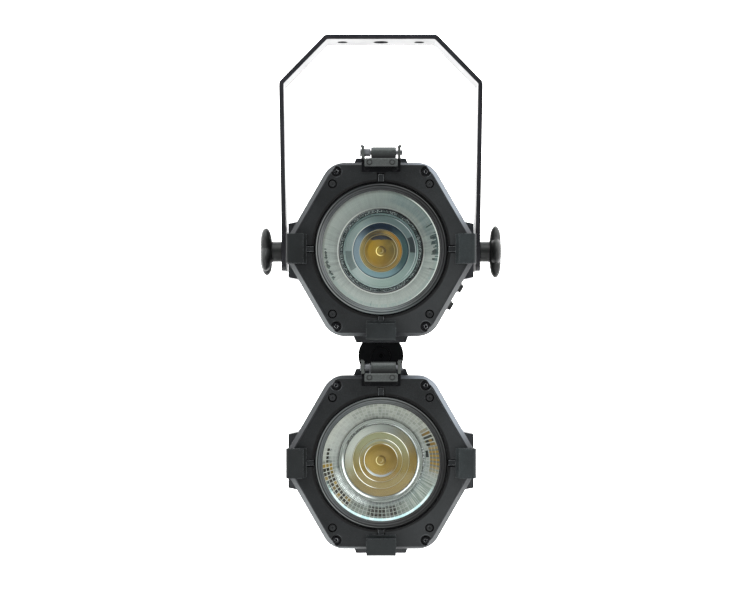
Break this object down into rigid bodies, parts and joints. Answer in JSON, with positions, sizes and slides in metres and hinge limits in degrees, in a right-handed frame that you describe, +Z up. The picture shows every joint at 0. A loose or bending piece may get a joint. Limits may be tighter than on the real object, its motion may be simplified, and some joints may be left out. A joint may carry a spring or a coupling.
{
  "type": "twin-head LED par light",
  "caption": "Hanging stage blinder: a flat-bar yoke with locking knobs carries hexagonal LED heads joined by a friction link, with gel clips and sprung latches.",
  "frame": {"origin": "centre of the yoke's central hanging hole, on the top face of its top bar", "axes": "+Z up, lenses face -Y, +X to the right seen from the front"},
  "size_m": [0.213, 0.1647, 0.4545],
  "materials": {
    "dark_powder_coat": "matte fine-texture powder coat",
    "shell_paint": "satin black powder coat on die-cast aluminium",
    "anodised_fins": "black anodised",
    "ring_black": "satin black",
    "clear_glass": "clear, polished",
    "black_rubber": "matte",
    "bright_reflector": "bright anodised, faceted",
    "optic_lens": "clear moulded optic with steps",
    "black_plastic": "matte, fine grain",
    "led_phosphor": "yellow phosphor on a white ceramic board",
    "driver_board": "green circuit board with parts",
    "clip_paint": "matte fine-texture powder coat",
    "latch_paint": "grey-green satin coat",
    "steel_zinc": "zinc plated",
    "black_screw": "black oxide",
    "yoke_paint": "satin black powder coat",
    "knob_plastic": "moulded nylon, fine grain",
    "link_paint": "smooth satin black",
    "display_glass": "dark window over a small display",
    "connector_plastic": "moulded, blue-black",
    "button_plastic": "soft satin"
  },
  "bodies": {
    "yoke": {"yoke": "yoke_paint"},
    "upper_head": {"upper_cob_led": "led_phosphor", "upper_front_frame": "dark_powder_coat", "upper_front_glass": "clear_glass", "upper_gel_clips": "clip_paint", "upper_glass_gasket": "black_rubber", "upper_heat_sink": "anodised_fins", "upper_housing": "shell_paint", "upper_inner_lens": "optic_lens", "upper_latch_bracket": "latch_paint", "upper_latch_pin": "steel_zinc", "upper_latch_spring": "steel_zinc", "upper_led_driver": "driver_board", "upper_lens_holder": "black_plastic", "upper_lens_ring": "ring_black", "upper_m3_screws": "black_screw", "upper_m4_screws": "black_screw", "upper_rear_cover": "shell_paint", "upper_reflector": "bright_reflector", "upper_rivets": "steel_zinc", "stud_left": "steel_zinc", "stud_right": "steel_zinc", "yoke_washers": "black_plastic", "display": "display_glass", "data_connectors": "black_plastic", "power_connectors": "connector_plastic", "safety_eye": "steel_zinc", "cable_glands": "black_plastic", "link_upper_lug": "link_paint", "link_bolt": "black_screw", "link_nut": "steel_zinc", "link_washer": "black_plastic"},
    "lower_head": {"lower_cob_led": "led_phosphor", "lower_front_frame": "dark_powder_coat", "lower_front_glass": "clear_glass", "lower_gel_clips": "clip_paint", "lower_glass_gasket": "black_rubber", "lower_heat_sink": "anodised_fins", "lower_housing": "shell_paint", "lower_inner_lens": "optic_lens", "lower_latch_bracket": "latch_paint", "lower_latch_pin": "steel_zinc", "lower_latch_spring": "steel_zinc", "lower_led_driver": "driver_board", "lower_lens_holder": "black_plastic", "lower_lens_ring": "ring_black", "lower_m3_screws": "black_screw", "lower_m4_screws": "black_screw", "lower_rear_cover": "shell_paint", "lower_reflector": "bright_reflector", "lower_rivets": "steel_zinc", "link_lower_lug": "link_paint"},
    "upper_flap": {"upper_latch_flap": "latch_paint"},
    "lower_flap": {"lower_latch_flap": "latch_paint"},
    "left_knob": {"knob_left": "knob_plastic"},
    "right_knob": {"knob_right": "knob_plastic"},
    "button_1": {"menu_button_1": "button_plastic"},
    "button_2": {"menu_button_2": "button_plastic"},
    "button_3": {"menu_button_3": "button_plastic"},
    "button_4": {"menu_button_4": "button_plastic"}
  },
  "joints": [
    {"name": "tilt", "type": "hinge", "parent": "yoke", "child": "upper_head", "pos_m": [0, 0, -0.19], "axis": [1, 0, 0], "range_deg": [-90, 90]},
    {"name": "link_swing", "type": "hinge", "parent": "upper_head", "child": "lower_head", "pos_m": [0, 0, -0.282], "axis": [0, 1, 0], "range_deg": [-40, 40]},
    {"name": "left_knob_turn", "type": "hinge", "parent": "upper_head", "child": "left_knob", "pos_m": [-0.097, 0, -0.19], "axis": [1, 0, 0], "continuous": true},
    {"name": "right_knob_turn", "type": "hinge", "parent": "upper_head", "child": "right_knob", "pos_m": [0.097, 0, -0.19], "axis": [1, 0, 0], "continuous": true},
    {"name": "upper_latch_flip", "type": "hinge", "parent": "upper_head", "child": "upper_flap", "pos_m": [0, -0.055, -0.1077], "axis": [-1, 0, 0], "range_deg": [0, 80], "deforming": ["upper_latch_spring"]},
    {"name": "lower_latch_flip", "type": "hinge", "parent": "lower_head", "child": "lower_flap", "pos_m": [0, -0.055, -0.2917], "axis": [-1, 0, 0], "range_deg": [0, 80], "deforming": ["lower_latch_spring"]},
    {"name": "button_1_press", "type": "slide", "parent": "upper_head", "child": "button_1", "axis": [0, -1, 0], "range_m": [0, 0.001]},
    {"name": "button_2_press", "type": "slide", "parent": "upper_head", "child": "button_2", "axis": [0, -1, 0], "range_m": [0, 0.001]},
    {"name": "button_3_press", "type": "slide", "parent": "upper_head", "child": "button_3", "axis": [0, -1, 0], "range_m": [0, 0.001]},
    {"name": "button_4_press", "type": "slide", "parent": "upper_head", "child": "button_4", "axis": [0, -1, 0], "range_m": [0, 0.001]}
  ]
}
